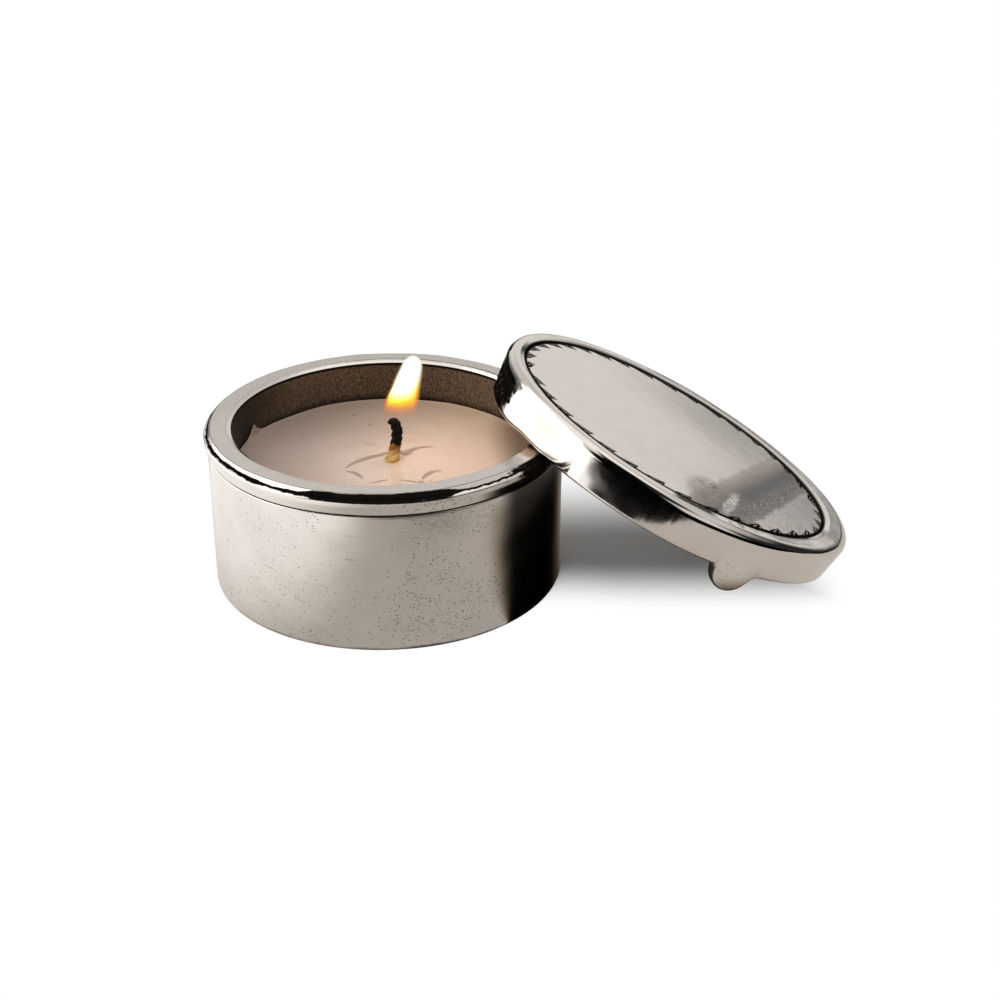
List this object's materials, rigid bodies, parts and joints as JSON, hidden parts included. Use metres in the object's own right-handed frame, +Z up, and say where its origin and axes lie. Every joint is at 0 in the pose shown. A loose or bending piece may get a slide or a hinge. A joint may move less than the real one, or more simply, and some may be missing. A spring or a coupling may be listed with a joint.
{
  "type": "round lidded candle box",
  "caption": "Round cast metal box with a rolled rim, filled with wax round a wick, and its loose lid with an engraved scalloped border leaning on the rim.",
  "frame": {"origin": "centre of the box's underside, on the table", "axes": "+Z up along the box's axis, +X from the box towards the side on which the lid leans"},
  "size_m": [0.1552, 0.0944, 0.0524],
  "materials": {
    "pewter": "hand-polished, satin",
    "candle_wax": "soft satin",
    "wick_cotton": "braided, burnt at the tip",
    "tinned_steel": "plain"
  },
  "bodies": {
    "box": {"box_wall": "pewter", "box_rim": "pewter", "box_base": "pewter", "wax_fill": "candle_wax", "wick": "wick_cotton", "wick_sustainer": "tinned_steel"},
    "lid": {"lid_rim": "pewter", "lid_plate": "pewter", "locating_ring": "pewter", "thumb_lobe": "pewter"}
  },
  "joints": [
    {"name": "lid_lift", "type": "slide", "parent": "box", "child": "lid", "axis": [0, 0, 1], "range_m": [0, 0.06]}
  ]
}
